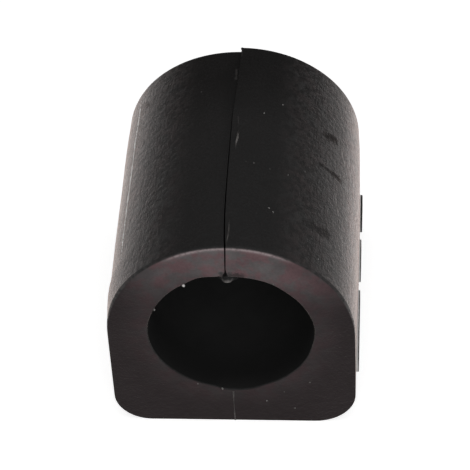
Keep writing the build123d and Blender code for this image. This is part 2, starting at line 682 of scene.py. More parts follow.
def body_tree():
    """Sweeps the turn over the wall along the outline, and sets each point from both."""
    inputs = {
        "Wall Path": "Object",
        "Wall Loop": "Object",
        "Top Radius": TOP_RADIUS,
        "Cut Width": CUT_WIDTH,
        "Lip Rise": LIP_RISE,
        "Unevenness": UNEVENNESS,
        "Material": "Material",
        "Hollow Material": "Material",
    }
    net, given, result = shape_tree("Moulded wall with a cut", inputs)

    def rail(label, attribute):
        kept = {"Geometry": net.curve_of(given[label]), "Name": attribute, "Value": net.place()}
        return net.node("GeometryNodeStoreNamedAttribute", kept, data_type="FLOAT_VECTOR").outputs[0]

    rails = {"Curve": rail("Wall Path", "outer_point"), "Profile Curve": rail("Wall Loop", "wall_spot")}
    sweep = net.node("GeometryNodeCurveToMesh", {**rails, "Fill Caps": True})
    outer_point = net.attribute("outer_point", "FLOAT_VECTOR")
    bore_point = net.attribute("bore_point", "FLOAT_VECTOR")
    along, share, inset = net.parts(net.attribute("wall_spot", "FLOAT_VECTOR"))

    # The outer edges of the end faces, filled out again where they are sharp
    at_front = net.attribute("at_front")
    rear_sharp = net.times(net.minus(1.0, at_front), 1 - REAR_EDGE_SHARE)
    sharp = net.times_plus(net.minus(1.0, net.attribute("front_edge")), at_front, rear_sharp)
    along = net.times_plus(net.attribute("edge_fill"), sharp, along)
    inset = net.minus(inset, net.times(net.attribute("edge_inset"), sharp))

    # The strayed front mouth and the bulges of both sides
    pushes = (("mouth_drift", "mouth_share"), ("right_flank", "right_bulge"), ("left_flank", "left_bulge"))
    for amount, where in pushes:
        inset = net.minus(inset, net.times(net.attribute(amount), net.attribute(where)))
    through = net.vector("SUBTRACT", bore_point, outer_point)
    inward = net.vector("NORMALIZE", through)
    section = net.vector("ADD", outer_point, net.scaled(through, share))
    section = net.vector("ADD", section, net.scaled(inward, inset))

    # The cut and its notch, opened by a turn about the bore's axis
    half_gap = net.times(net.times(given["Cut Width"], 0.5), net.attribute("opening"))
    gap_angle = net.times(net.maths("DIVIDE", half_gap, given["Top Radius"]), net.attribute("lip"))
    notch_angle = net.maths("DIVIDE", net.attribute("notch"), given["Top Radius"])
    gap_angle = net.times_plus(notch_angle, net.attribute("lip_edge"), gap_angle)
    cut_angle = net.times(net.attribute("cut_angle"), net.attribute("follow"))
    turn = {"Vector": section, "Axis": (0, 1, 0), "Angle": net.plus(gap_angle, cut_angle)}
    turned = net.node("ShaderNodeVectorRotate", turn, rotation_type="AXIS_ANGLE").outputs[0]

    # The climb of the right half, and the uneven skin
    rise = net.times(net.times(given["Lip Rise"], net.attribute("rise_share")), net.attribute("climb"))
    rise = net.times(rise, net.minus(1.0, share))
    place = net.vector("ADD", turned, net.node("ShaderNodeCombineXYZ", {"Y": along, "Z": rise}).outputs[0])
    coarse = net.noise(net.vector("ADD", place, (0.1, 0.2, 0.3)), 90.0, 2.0)
    bend = net.times(net.minus(coarse, 0.5), given["Unevenness"])
    place = net.vector("ADD", place, net.scaled(inward, net.times(bend, 2.0)))

    moved = net.node("GeometryNodeSetPosition", {"Geometry": sweep.outputs[0], "Position": place})
    outwards = net.node("GeometryNodeFlipFaces", {"Mesh": moved.outputs[0]})
    painted = net.painted(net.realized(outwards.outputs[0]), given["Material"])
    hollow = net.maths("MAXIMUM", net.attribute("bore_wall"), net.attribute("cut_wall"))
    hollow = net.maths("GREATER_THAN", hollow, 0.7)
    net.join(net.painted(painted, given["Hollow Material"], Selection=hollow), result[0])
    return net.tree


# Mould lines: thin ridges that follow a path on the surface


def ridge_tree():
    """A thin uneven ridge along a path, half sunk into what it lies on."""
    inputs = {
        "Path": "Object",
        "Step": 0.15 * MM,
        "Radius": LINE_RADIUS,
        "Raggedness": 0.5,
        "Seed": SEED,
        "Material": "Material",
    }
    net, given, result = shape_tree("Mould line", inputs)
    way = {"Curve": net.curve_of(given["Path"]), "Length": given["Step"]}
    path = net.node("GeometryNodeResampleCurve", way, mode="LENGTH").outputs[0]
    shifted = net.vector("ADD", net.place(), net.scaled((0.013, 0.007, 0.011), given["Seed"]))
    ragged = net.times(net.minus(net.noise(shifted, 900.0, 3.0, 0.6), 0.5), given["Raggedness"])
    swell = net.times(net.times_plus(ragged, 4.0, 1.0), net.attribute("fullness"))
    swell = net.maths("MAXIMUM", swell, 0.15)
    size = {"Resolution": 10, "Radius": given["Radius"]}
    ring = net.node("GeometryNodeCurvePrimitiveCircle", size).outputs[0]
    rails = {"Curve": path, "Profile Curve": ring, "Scale": swell, "Fill Caps": True}
    swept = net.node("GeometryNodeCurveToMesh", rails).outputs[0]
    net.join(net.painted(net.realized(swept), given["Material"]), result[0])
    return net.tree


# The flash line along the top, as (place along the bore in mm, value)
TOP_LINE_OFFSETS = (
    (-24.2, 0.1), (-22.2, 0.2), (-20.8, 0.33), (-18.9, 0.3), (-10.0, 0.45), (0.2, 0.55), (1.8, 0.76),
    (5.5, 0.68), (8.1, 0.55), (13.4, 0.35), (24.2, 0.52),
)
TOP_LINE_FULLNESS = (
    (-24.2, 0.4), (-21.0, 0.8), (-17.0, 0.4), (-2.0, 0.4), (1.2, 1.3), (4.0, 0.5), (23.2, 0.5), (24.2, 2.2),
)
# How pale the top line is: painted highlight, partly rubbed flash
TOP_LINE_HIGHLIGHT_AND_WEAR = (
    (-24.2, 0.05), (-22.6, 0.22), (-21.6, 0.22), (-21.0, 0.08), (-20.6, 0.24), (-19.2, 0.24),
    (-18.4, 0.02), (-2.0, 0.01), (-0.3, 0.15), (0.5, 0.5), (1.6, 0.5), (2.6, 0.04), (4.8, 0.04),
    (5.8, 0.24), (7.8, 0.24), (8.8, 0.02), (13.0, 0.08), (14.0, 0.01), (18.0, 0.01), (22.0, 0.08),
    (24.2, 0.0),
)

# The mould line along the left side, as (place along the bore in mm, degrees from the top to the left)
LEFT_LINE_WAY = (
    (-21.0, 61.0), (-13.3, 61.6), (-5.8, 61.5), (3.9, 60.7), (12.2, 60.5), (16.7, 59.5), (23.7, 58.8),
)
# How pale the left line is: a painted highlight where the ridge catches the light
LEFT_LINE_HIGHLIGHT = ((-21.0, 0.6), (-16.0, 1.1), (-9.0, 1.8), (12.0, 1.8), (18.0, 1.6), (23.7, 1.3))
LEFT_LINE_FULLNESS = 1.25
LEFT_LINE_FADES = (5, 12)     # how soon it reaches its full width from its front and from its rear end
LINE_SINK = 0.05 * MM         # how deep the middle of a line lies under the surface

# The parting line down each end face
FACE_LINE_OFFSET = -0.16 * MM
FACE_LINE_BOW = 0.05 * MM     # how far its middle bends to the left
FACE_LINE_START = 1.0 * MM    # how far below the bore it starts

# Points of each line's path
TOP_LINE_STEPS = 160
LEFT_LINE_STEPS = 110
FACE_LINE_STEPS = 30


def line_path(name, steps, spot_at):
    """A mould line's path, from a rule for the point, fullness and painted highlight, partly rubbed flash,
    at a share of its length.
    """
    points, fullness, highlight_and_wear = zip(*(spot_at(share) for share in even(steps)))
    rows = [{"fullness": full, "highlight_and_wear": pale} for full, pale in zip(fullness, highlight_and_wear)]
    return path_object(name, points, rows)


def top_line(sizes):
    """The flash line along the top, just to the right of the cut."""
    reach = sizes.half_length - sizes.end_rounding / 2
    radius = sizes.top_radius - LINE_SINK

    def spot_at(share):
        y = reach * (2 * share - 1)
        x = eased(TOP_LINE_OFFSETS, y / MM) * MM
        point = (x, y, math.sqrt(radius**2 - x**2) + lip_height(sizes, y))
        return point, eased(TOP_LINE_FULLNESS, y / MM), eased(TOP_LINE_HIGHLIGHT_AND_WEAR, y / MM)

    return line_path("top line path", TOP_LINE_STEPS, spot_at)


def left_line(sizes):
    """The mould line along the left side, which fades out near both ends."""
    start, end = LEFT_LINE_WAY[0][0], LEFT_LINE_WAY[-1][0]

    def spot_at(share):
        y = start + (end - start) * share
        angle = math.radians(eased(LEFT_LINE_WAY, y))
        bulge = eased(LEFT_BULGE, y) * MM * flank_share(sizes, sizes.top_radius * math.sin(angle))
        radius = sizes.top_radius + bulge - LINE_SINK
        point = (-radius * math.sin(angle), y * MM, radius * math.cos(angle))
        fading = min(1.0, LEFT_LINE_FADES[0] * share, LEFT_LINE_FADES[1] * (1 - share))
        return point, fading * LEFT_LINE_FULLNESS, eased(LEFT_LINE_HIGHLIGHT, y)

    return line_path("left line path", LEFT_LINE_STEPS, spot_at)


def face_line(sizes, end):
    """The parting line down an end face, from the bore to the base."""
    top, bottom = -sizes.bore_radius - FACE_LINE_START, -sizes.base_depth

    def spot_at(share):
        x = FACE_LINE_OFFSET - FACE_LINE_BOW * math.sin(math.pi * share)
        point = (x, end * (sizes.half_length - LINE_SINK), top + (bottom - top) * share)
        # Fullness, then how pale the line is: painted highlight, partly rubbed flash
        return point, 0.75 + 0.2 * math.cos(6 * share) + 0.5 * share**8, 0.22 + 0.25 * share**6

    return line_path("face line path", FACE_LINE_STEPS, spot_at)


# Raised bars: the blank row on the right side

# Each bar: its middle along the bore and its length in mm, its share of the relief, and how far out in
# mm the painted highlight in the corner over its root reaches
BARS = ((17.05, 7.1, 1.0, 0.3), (4.9, 8.2, 0.88, 0.38), (-12.3, 17.1, 0.82, 0.34))
BAR_TOP = -11.0 * MM
BAR_ROOT = 0.4 * MM
BAR_BEVEL = 0.16 * MM


def bar_tree():
    """A flat raised bar at each point, as long as the point says."""
    inputs = {
        "Points": "Object",
        "Relief": BAR_RELIEF,
        "Height": BAR_HEIGHT,
        "Material": "Material",
    }
    net, given, result = shape_tree("Raised bars", inputs)
    block = net.node("GeometryNodeMeshCube", {"Size": (1, 1, 1)}).outputs[0]
    thickness = net.times_plus(given["Relief"], net.attribute("bar_share"), BAR_ROOT)
    size = {0: thickness, 1: net.attribute("bar_length"), 2: given["Height"]}
    size = net.node("ShaderNodeCombineXYZ", size).outputs[0]
    spread = {"Points": net.mesh_of(given["Points"]), "Instance": block, "Scale": size}
    bars = net.node("GeometryNodeInstanceOnPoints", spread).outputs[0]
    net.join(net.painted(net.realized(bars), given["Material"]), result[0])
    return net.tree


def bar_points(sizes):
    """The middle of each bar, set into the right side."""
    z = BAR_TOP - sizes.bar_height / 2
    points, rows = [], []
    for middle, length, share, _ in BARS:
        x = sizes.top_radius + (sizes.bar_relief * share - BAR_ROOT) / 2
        points.append((x, middle * MM, z))
        rows.append({"bar_length": length * MM, "bar_share": share})
    return path_object("bar points", points, rows)


# Flash in the front mouth of the bore

# Its lower and upper edges, as (offset to the right, height), both in mm
TONGUE_FOOT = (
    (-1.6, 13.9), (-1.13, 13.5), (-0.62, 12.8), (0.4, 12.76), (0.75, 13.15), (1.3, 13.4), (2.0, 13.95),
)
TONGUE_ROOT = (
    (-1.6, 14.4), (-0.95, 14.45), (-0.65, 13.5), (-0.03, 13.9), (0.45, 13.7), (0.75, 14.4), (2.0, 14.3),
)
TONGUE_STEPS = (40, 8)    # across and down
TONGUE_THICKNESS = 0.22 * MM
TONGUE_SET_BACK = 0.75 * MM
TONGUE_CURL = 0.55 * MM
TONGUE_RIPPLE = 0.03 * MM
# How pale the lower edge of the tongue is: a painted highlight
TONGUE_HIGHLIGHT = 0.75


def tongue_mesh(sizes):
    """A thin tongue of flash that hangs into the bore under the cut, and curls a little forwards."""
    mesh = bpy.data.meshes.new("bore_flash")
    shell = bmesh.new()
    pale = shell.verts.layers.float.new("highlight_and_wear")
    across, down = TONGUE_STEPS
    left, right = TONGUE_FOOT[0][0], TONGUE_FOOT[-1][0]

    def point_at(i, k, thickness):
        share = k / down
        x = left + (right - left) * i / across
        root, foot = eased(TONGUE_ROOT, x), eased(TONGUE_FOOT, x)
        ripple = TONGUE_RIPPLE * math.sin(9 * i / across + 2 * share)
        back = TONGUE_SET_BACK - TONGUE_CURL * share**1.5 + thickness * (1 - 0.35 * share) + ripple
        point = shell.verts.new((x * MM, back - sizes.half_length, (root + (foot - root) * share) * MM))
        # Painted highlight along the lower edge of the tongue; the rest keeps the dark skin colour
        point[pale] = TONGUE_HIGHLIGHT * clamped(5 * share - 3.0) * max(0.0, 1 - x * x)
        return point

    front, back = (
        [[point_at(i, k, thickness) for k in range(down + 1)] for i in range(across + 1)]
        for thickness in (0.0, TONGUE_THICKNESS)
    )
    for rows in (front, back):
        for i in range(across):
            for k in range(down):
                shell.faces.new((rows[i][k], rows[i + 1][k], rows[i + 1][k + 1], rows[i][k + 1]))
    for i in range(across):
        for k in (0, down):
            shell.faces.new((front[i][k], front[i + 1][k], back[i + 1][k], back[i][k]))
    for k in range(down):
        for i in (0, across):
            shell.faces.new((front[i][k], front[i][k + 1], back[i][k + 1], back[i][k]))
    bmesh.ops.recalc_face_normals(shell, faces=shell.faces)
    shell.to_mesh(mesh)
    shell.free()
    return mesh


# Crumbs of pale dust and rubber that lie on the surface

# On the round top: (degrees from the top to the right, place along the bore in mm, size in mm)
TOP_CRUMBS = (
    (13.6, 8.2, 0.2),
    (22.5, 11.4, 0.16),
    (10.3, -4.3, 0.12),
    (18.4, -14.2, 0.17),
    (20.4, -14.9, 0.2),
    (26.8, -5.2, 0.13),
    (35.6, -2.7, 0.13),
    (44.9, -21.0, 0.16),
    (-44.0, -10.3, 0.15),
)
# On the front face: (offset to the right, height, size), all in mm
FACE_CRUMBS = (
    (-7.53, 12.1, 0.28),
    (-2.1, -14.75, 0.2),
    (-6.4, -13.5, 0.14),
    (5.7, -17.9, 0.14),
    (10.65, -19.88, 0.13),
    (-12.9, 5.9, 0.2),
    (7.7, 12.7, 0.16),
)


def crumb_tree():
    """A small uneven grain at each point, turned at random."""
    inputs = {
        "Points": "Object",
        "Flatness": 0.6,
        "Seed": SEED,
        "Material": "Material",
    }
    net, given, result = shape_tree("Crumbs", inputs)
    grain = net.node("GeometryNodeMeshIcoSphere", {"Radius": 1.0, "Subdivisions": 3}).outputs[0]
    turns = {"Max": (6.28, 6.28, 6.28), "Seed": given["Seed"]}
    turn = net.node("FunctionNodeRandomValue", turns, data_type="FLOAT_VECTOR").outputs[0]
    shape = net.node("ShaderNodeCombineXYZ", {0: 1.0, 1: given["Flatness"], 2: 0.8}).outputs[0]
    size = net.scaled(shape, net.attribute("crumb_size"))
    spread = {"Points": net.mesh_of(given["Points"]), "Instance": grain, "Rotation": turn, "Scale": size}
    crumbs = net.realized(net.node("GeometryNodeInstanceOnPoints", spread).outputs[0])
    push = net.times(net.minus(net.noise(net.place(), 6000.0, 2.0), 0.5), 0.12 * MM)
    offset = net.scaled(net.node("GeometryNodeInputNormal").outputs[0], push)
    moved = net.node("GeometryNodeSetPosition", {"Geometry": crumbs, "Offset": offset})
    net.join(net.painted(moved.outputs[0], given["Material"]), result[0])
    return net.tree


def crumb_points(sizes):
    """Every crumb's place, on the round top and on the front face."""
    points = [Vector(on_top(sizes, degrees, y)) * MM for degrees, y, _ in TOP_CRUMBS]
    points += [(x * MM, -sizes.half_length, z * MM) for x, z, _ in FACE_CRUMBS]
    rows = [{"crumb_size": crumb[2] * MM} for crumb in TOP_CRUMBS + FACE_CRUMBS]
    return path_object("crumb points", points, rows)


# Materials


def mottle_group():
    """Broad clouds and fine grain of a moulded skin, from a place in millimetres."""
    inputs = {
        "Place": "Vector",
        "Cloud Size": 6.0,
        "Grain Size": 0.35,
    }
    net, given, result = mask_group("Moulded mottle", inputs, ("Clouds", "Grain"))
    cloud_scale = net.maths("DIVIDE", 1.0, given["Cloud Size"])
    grain_scale = net.maths("DIVIDE", 1.0, given["Grain Size"])
    net.join(net.noise(given["Place"], cloud_scale, 4.0, 0.6, 0.4), result["Clouds"])
    net.join(net.noise(given["Place"], grain_scale, 3.0, 0.65), result["Grain"])
    return net.tree


def rub_group():
    """Streaks where the skin was rubbed, all in one direction, as a mask."""
    inputs = {
        "Place": "Vector",
        "Turn": (0.0, 0.0, 0.0),
        "Length": 6.0,
        "Width": 0.5,
        "Share": 0.4,
    }
    net, given, result = mask_group("Rub marks", inputs)
    turn = {"Vector": given["Place"], "Rotation": given["Turn"]}
    turned = net.node("ShaderNodeVectorRotate", turn, rotation_type="EULER_XYZ").outputs[0]
    stretch = {0: given["Width"], 1: given["Length"], 2: given["Width"]}
    stretch = net.node("ShaderNodeCombineXYZ", stretch).outputs[0]
    streaks = net.noise(net.vector("DIVIDE", turned, stretch), 1.0, 3.0, 0.6)
    low = net.minus(0.8, net.times(given["Share"], 0.6))
    net.join(net.between(low, net.plus(low, 0.3), streaks), result["Mask"])
    return net.tree


def speck_group():
    """Small round specks of dust, spread unevenly, as a mask."""
    inputs = {
        "Place": "Vector",
        "Spacing": 3.0,
        "Size": 0.15,
        "Share": 0.3,
    }
    net, given, result = mask_group("Dust specks", inputs)
    scale = net.maths("DIVIDE", 1.0, given["Spacing"])
    cells = net.node("ShaderNodeTexVoronoi", {"Vector": given["Place"], "Scale": scale}).outputs
    lot = net.parts(cells["Color"])
    size = net.maths("DIVIDE", given["Size"], given["Spacing"])
    reach = net.times(size, net.plus(0.5, lot[1]))
    near = net.between(reach, net.times(reach, 0.4), cells["Distance"])
    chosen = net.maths("LESS_THAN", lot[0], given["Share"])
    net.join(net.times(near, chosen), result["Mask"])
    return net.tree


def stroke_group():
    """A soft uneven mark along a straight line between two places, as a mask."""
    inputs = {
        "Place": "Vector",
        "Start": (0.0, 0.0, 0.0),
        "End": (0.0, 0.0, 1.0),
        "Half Width": 0.5,
    }
    net, given, result = mask_group("Stroke mark", inputs)
    way = net.vector("SUBTRACT", given["End"], given["Start"])
    reached = net.vector("SUBTRACT", given["Place"], given["Start"])
    passed = net.vector("DOT_PRODUCT", reached, way, output="Value")
    whole = net.vector("DOT_PRODUCT", way, way, output="Value")
    share = net.maths("DIVIDE", passed, whole, clamp=True)
    away = net.vector("LENGTH", net.vector("SUBTRACT", reached, net.scaled(way, share)), output="Value")
    frayed = net.minus(net.noise(given["Place"], 1.6, 3.0, 0.65), 0.5)
    frayed = net.times(frayed, net.times(given["Half Width"], 3.0))
    outer, inner = net.times(given["Half Width"], 1.3), net.times(given["Half Width"], 0.3)
    net.join(net.between(outer, inner, net.plus(away, frayed)), result["Mask"])
    return net.tree


def on_top(sizes, degrees, y):
    """A place on the round top in mm, from degrees to the right of its crest and a place along the bore."""
    angle = math.radians(degrees)
    radius = sizes.top_radius / MM
    lift = lip_height(sizes, y * MM) / MM if degrees > 0 else 0.0
    return radius * math.sin(angle), y, radius * math.cos(angle) + lift


def scaled_colour(colour, share):
    """A darker or paler colour of the same hue, with its alpha."""
    return tuple(share * channel for channel in colour) + (1,)


def greyed(colour):
    """The grey that is as bright as a colour, with its alpha."""
    return 3 * (sum(colour) / 3,) + (1,)


def new_material(name):
    """The net of a new material, its shader's inputs and the place on the piece in mm."""
    material = bpy.data.materials.new(name)
    material.use_nodes = True
    material.node_tree.nodes.clear()
    net = Net(material.node_tree)
    shader = net.node("ShaderNodeBsdfPrincipled")
    net.node("ShaderNodeOutputMaterial", {"Surface": shader.outputs[0]})
    spot = net.node("ShaderNodeTexCoord").outputs["Object"]
    return net, shader.inputs, net.scaled(spot, 1 / MM)


def add_bloom(shader):
    """Low gloss, and the warm bloom of rubber that shows where a surface is seen at a low angle."""
    shader["Specular IOR Level"].default_value = 0.08
    shader["Sheen Weight"].default_value = 1.0
    shader["Sheen Roughness"].default_value = 0.27
    shader["Sheen Tint"].default_value = (1.0, 0.8, 0.73, 1.0)


# Marks on the skin: start and end, each as (degrees from the top to the right, place along the bore in
# mm), then half the width in mm and the strength
DARK_MARKS = (
    ((48.0, 9.3), (53.5, 9.9), 1.05, 1.0),
    ((44.5, 1.2), (51.7, 1.2), 0.42, 0.8),
    ((51.7, 1.2), (58.5, 1.6), 0.7, 0.9),
    ((41.5, -14.4), (49.5, -14.0), 1.2, 0.7),
    ((-55.0, 20.0), (-50.0, 18.5), 0.6, 0.3),
)
PALE_MARKS = (
    ((62.1, -10.3), (62.5, -14.1), 0.16, 0.5),
    ((59.2, 9.0), (63.4, 5.9), 0.2, 0.5),
    ((-1.0, 19.6), (-0.8, 17.2), 0.22, 0.1),
    ((55.0, -3.0), (58.0, -7.0), 0.2, 0.35),
    ((-66.0, 2.0), (-67.0, -6.0), 0.3, 0.4),
)
# Painted shade on the front face, beside the foot of the cut: start and end as (right, up), half the width
PAINTED_NOTCH_SHADE = ((-0.9, 14.7), (2.2, 14.6), 0.7)


def distance(net, across, high):
    """How far a spot is from the bore's axis."""
    joined = net.node("ShaderNodeCombineXYZ", {0: across, 1: high}).outputs[0]
    return net.vector("LENGTH", joined, output="Value")


def strokes(look, marks):
    """A mask of all the marks in a table."""
    most = 0.0
    for start, end, width, strength in marks:
        ends = {"Start": on_top(look.sizes, *start), "End": on_top(look.sizes, *end), "Half Width": width}
        mask = look.net.group(look.groups["stroke"], {"Place": look.place, **ends})
        most = look.net.maths("MAXIMUM", look.net.times(mask, strength), most)
    return most


def rub_marks(look):
    """The scuffs: lengthwise and crosswise ones on the right side, and short ones on the left."""
    net = look.net

    def rubbed(turn, length, width, share):
        marks = {"Turn": (math.radians(turn), 0.0, 0.0), "Length": length, "Width": width, "Share": share}
        return net.group(look.groups["rub"], {"Place": look.place, **marks})

    right_side = net.between(6.0, 18.0, look.right)
    left_side = net.between(-6.0, -18.0, look.right)
    lengthwise = net.times(rubbed(5, 4.5, 0.4, 0.72), right_side)
    crosswise = net.times(rubbed(75, 2.0, 0.4, 0.7), right_side)
    left = net.times(rubbed(-10, 1.5, 0.35, 0.72), left_side)
    return net.plus(net.times_plus(crosswise, 0.9, lengthwise), left)


def film_and_reflection_share(look):
    """How much pale dust and painted reflection lies on a spot: most on the flat sides, more behind, broken
    up by the scuffs.
    """
    net, right, along = look.net, look.right, look.along
    # Pale dust and painted reflection towards the flat sides, with less of it low down
    film_and_reflection = net.times(net.between(15.0, 22.0, look.sideways), net.between(21.95, 21.8, look.sideways))
    film_and_reflection = net.times(net.maths("POWER", film_and_reflection, 5.5), net.between(-14.0, 0.0, look.up, 0.3, 1.0))
    uneven = net.times_plus(look.stipple, 0.4, net.times_plus(look.scuffs, 0.6, -0.09))
    uneven = net.times_plus(look.patchy, 0.6, net.minus(uneven, 0.07))
    left_amount = net.between(-16.0, 12.0, along, 0.6, 1.7)
    right_more = net.minus(net.between(-21.0, -2.0, along, 0.8, 1.55), left_amount)
    amount = net.times_plus(net.between(-1.0, 1.0, right), right_more, left_amount)
    film_and_reflection = net.times(net.times(film_and_reflection, amount), uneven, clamp=True)
    haze_and_reflection = net.times(net.between(-15.0, -18.5, right), net.between(-14.0, 6.0, along, 0.1, 0.4))
    return net.maths("MAXIMUM", film_and_reflection, net.times(haze_and_reflection, look.patchy))


def skin_tone(look):
    """The colour of the skin: painted shade towards the back and in the cut, paler towards both sides as
    bloom, dust and painted reflection, with its marks.
    """
    net, colours = look.net, look.colours
    # Painted shade: the skin darker towards the back
    behind_front = net.between(2.0, 21.0, look.along)
    tone = net.mixed(behind_front, (*colours.skin, 1), scaled_colour(colours.skin, 0.6))
    paler_share = net.times(net.times(look.cloudy, look.grain), 0.06)
    tone = net.mixed(paler_share, tone, (*colours.bloom_and_light, 1))
    # Painted reflection, broken up like bloom: paler from the middle of the top towards both sides
    side_bloom_and_reflection = net.times_plus(look.stipple, 0.25, net.times(look.patchy, 0.45))
    side_bloom_and_reflection = net.times(net.between(6.5, 12.5, look.sideways), side_bloom_and_reflection)
    tone = net.mixed(side_bloom_and_reflection, tone, net.mixed(look.blotch, (*colours.bloom_and_light, 1), greyed(colours.bloom_and_light)))
    rubs = net.times(net.times(look.scuffs, look.stipple), 0.22)
    tone = net.mixed(rubs, tone, (*colours.bloom_and_light, 1))
    hue = net.mixed(net.times_plus(look.blotch, 0.6, 0.2), (*colours.flank, 1), greyed(colours.flank))
    tone = net.mixed(film_and_reflection_share(look), tone, hue)
    tone = net.mixed(look.dark, tone, scaled_colour(colours.skin, 0.5))
    tone = net.mixed(strokes(look, PALE_MARKS), tone, (*colours.flash, 1))
    # Painted shade: the walls of the cut darkened
    return net.mixed(net.stored("cut_wall"), tone, scaled_colour(colours.skin, 0.2))


def face_tone(look):
    """The colour of the end faces: paler on the upper part as mauve bloom and painted light, less so at the
    shoulders, and painted shade beside the foot of the cut.
    """
    net, colours, right, up = look.net, look.colours, look.right, look.up
    bloom_and_light = net.mixed(net.times(look.blotch, 0.85), (*colours.face_bloom_and_light, 1), greyed(colours.face_bloom_and_light))
    # Painted light with the mauve bloom: paler towards the top and near the bore, less so at the shoulders
    near_bore = net.between(20.5, 14.2, distance(net, right, up), 0.0, 0.15)
    paler_share = net.plus(net.between(5.0, 20.5, net.times_plus(right, 0.05, up)), near_bore, clamp=True)
    tone = net.mixed(paler_share, (*colours.end_face, 1), bloom_and_light)
    reach = distance(net, right, net.maths("MAXIMUM", up, 0.0))
    shoulder = net.times(net.between(18.0, 21.3, reach), net.between(19.5, 15.0, up))
    tone = net.mixed(net.times(shoulder, 0.4), tone, (*colours.end_face, 1))
    tone = net.mixed(net.times(look.cloudy, 0.3), tone, scaled_colour(colours.end_face, 0.7))
    tone = net.mixed(net.times(look.stipple, 0.12), tone, scaled_colour(colours.end_face, 0.5))
    # Painted shade beside the foot of the cut
    start, end = ((x, -look.sizes.half_length / MM, z) for x, z in PAINTED_NOTCH_SHADE[:2])
    ends = {"Place": look.place, "Start": start, "End": end, "Half Width": PAINTED_NOTCH_SHADE[2]}
    notch_shade = net.group(look.groups["stroke"], ends)
    return net.mixed(net.times(notch_shade, 0.75), tone, (*colours.skin, 1))


def rubber_material(colours, sizes, groups):
    """The moulded rubber of the body: its skin and its end faces."""
    net, shader, place = new_material("moulded rubber")
    mottle = {"Place": place, "Cloud Size": 5.0, "Grain Size": 0.5}
    grain = net.group(groups["mottle"], mottle, "Grain")
    right, along, up = net.parts(place)
    look = SimpleNamespace(net=net, place=place, colours=colours, sizes=sizes, groups=groups)
    look.right, look.along, look.up, look.sideways = right, along, up, net.maths("ABSOLUTE", right)
    look.cloudy = net.between(0.35, 0.7, net.group(groups["mottle"], mottle, "Clouds"))
    look.grain, look.stipple = grain, net.between(0.38, 0.62, grain)
    look.patchy = net.between(0.36, 0.64, net.noise(place, 0.9, 2.0, 0.5))
    look.blotch = net.between(0.4, 0.6, net.noise(place, 0.35, 3.0, 0.6))
    look.scuffs = rub_marks(look)
    look.dark = strokes(look, DARK_MARKS)

    end_face = net.between(0.85, 1.0, net.stored("end_face"))
    tone = net.mixed(end_face, skin_tone(look), face_tone(look))
    # Painted highlight, with some rubbed wear, on the rim of the end faces, kept to their upper part
    rim = net.times(net.stored("rim"), net.between(17.3, 20.2, up, 0.0, 0.8))
    rim = net.times(rim, net.between(0.3, 0.6, grain, 0.4, 1.3), clamp=True)
    tone = net.mixed(rim, tone, (*colours.rim, 1))
    specks = net.group(groups["speck"], {"Place": place, "Spacing": 2.2, "Size": 0.16, "Share": 0.14})
    net.join(net.mixed(net.times(specks, 0.35), tone, (*colours.dust, 1)), shader["Base Color"])

    rough = net.times_plus(look.cloudy, 0.05, 0.27)
    rough = net.times_plus(look.stipple, -0.06, rough)
    rough = net.times_plus(look.dark, 0.5, rough)
    net.join(net.times_plus(end_face, 0.3, rough), shader["Roughness"])
    relief = net.times_plus(look.patchy, 0.5, net.times_plus(look.scuffs, 0.4, grain))
    bump = net.node("ShaderNodeBump", {"Height": relief, "Strength": 0.9, "Distance": 0.055 * MM})
    net.join(bump.outputs[0], shader["Normal"])
    add_bloom(shader)


def hollow_material(colours, groups):
    """The dull rubber of the bore and of the cut, which nothing has rubbed, darkened towards both mouths as
    painted shade.
    """
    net, shader, place = new_material("bore rubber")
    clouds = net.group(groups["mottle"], {"Place": place, "Cloud Size": 4.0}, "Clouds")
    tone = net.mixed(clouds, (*colours.bore, 1), scaled_colour(colours.bore, 0.7))
    # Painted shade: darker towards both mouths of the bore
    painted_mouth_shade = net.between(8.0, 23.0, net.maths("ABSOLUTE", net.parts(place)[1]))
    net.join(net.mixed(painted_mouth_shade, tone, scaled_colour(colours.bore, 0.35)), shader["Base Color"])
    net.join(net.times_plus(clouds, 0.1, 0.8), shader["Roughness"])
    shader["Specular IOR Level"].default_value = 0.03


def line_material(colours, groups):
    """The flash of the mould lines and of the tongue, pale where each point says: a painted highlight,
    partly rubbed flash.
    """
    net, shader, place = new_material("flash rubber")
    grain = net.group(groups["mottle"], {"Place": place, "Grain Size": 0.5}, "Grain")
    # Painted highlight, partly rubbed flash, as far as each point says
    pale = net.times(net.stored("highlight_and_wear"), net.between(0.3, 0.6, grain, 0.4, 1.0))
    tone = net.mixed(pale, (*colours.skin, 1), (*colours.flash, 1))
    # The brightest of the painted highlight goes nearly white
    brightest = net.between(0.7, 1.2, pale)
    net.join(net.mixed(brightest, tone, (*colours.palest, 1)), shader["Base Color"])
    net.join(net.times_plus(brightest, -0.2, 0.5), shader["Roughness"])
    add_bloom(shader)


def bar_material(colours, sizes, groups):
    """The rubber of the raised bars, with a painted highlight in the corner over the root of each."""
    net, shader, place = new_material("bar rubber")
    grain = net.group(groups["mottle"], {"Place": place, "Grain Size": 0.5}, "Grain")
    out, along = net.parts(place)[:2]
    out = net.times_plus(net.minus(grain, 0.5), 0.12, net.minus(out, sizes.top_radius / MM))
    reach = 0.0
    for middle, length, _, highlight_reach in BARS:
        away = net.maths("ABSOLUTE", net.minus(along, middle))
        here = net.maths("LESS_THAN", away, length / 2 + 0.1)
        reach = net.maths("MAXIMUM", net.times(here, highlight_reach), reach)
    # Painted highlight: pale in the corner over the root of each bar
    pale = net.between(0.04, -0.04, net.minus(out, reach))
    net.join(net.mixed(pale, (*colours.skin, 1), (*colours.palest, 1)), shader["Base Color"])
    shader["Roughness"].default_value = 0.5
    shader["Specular IOR Level"].default_value = 0.2


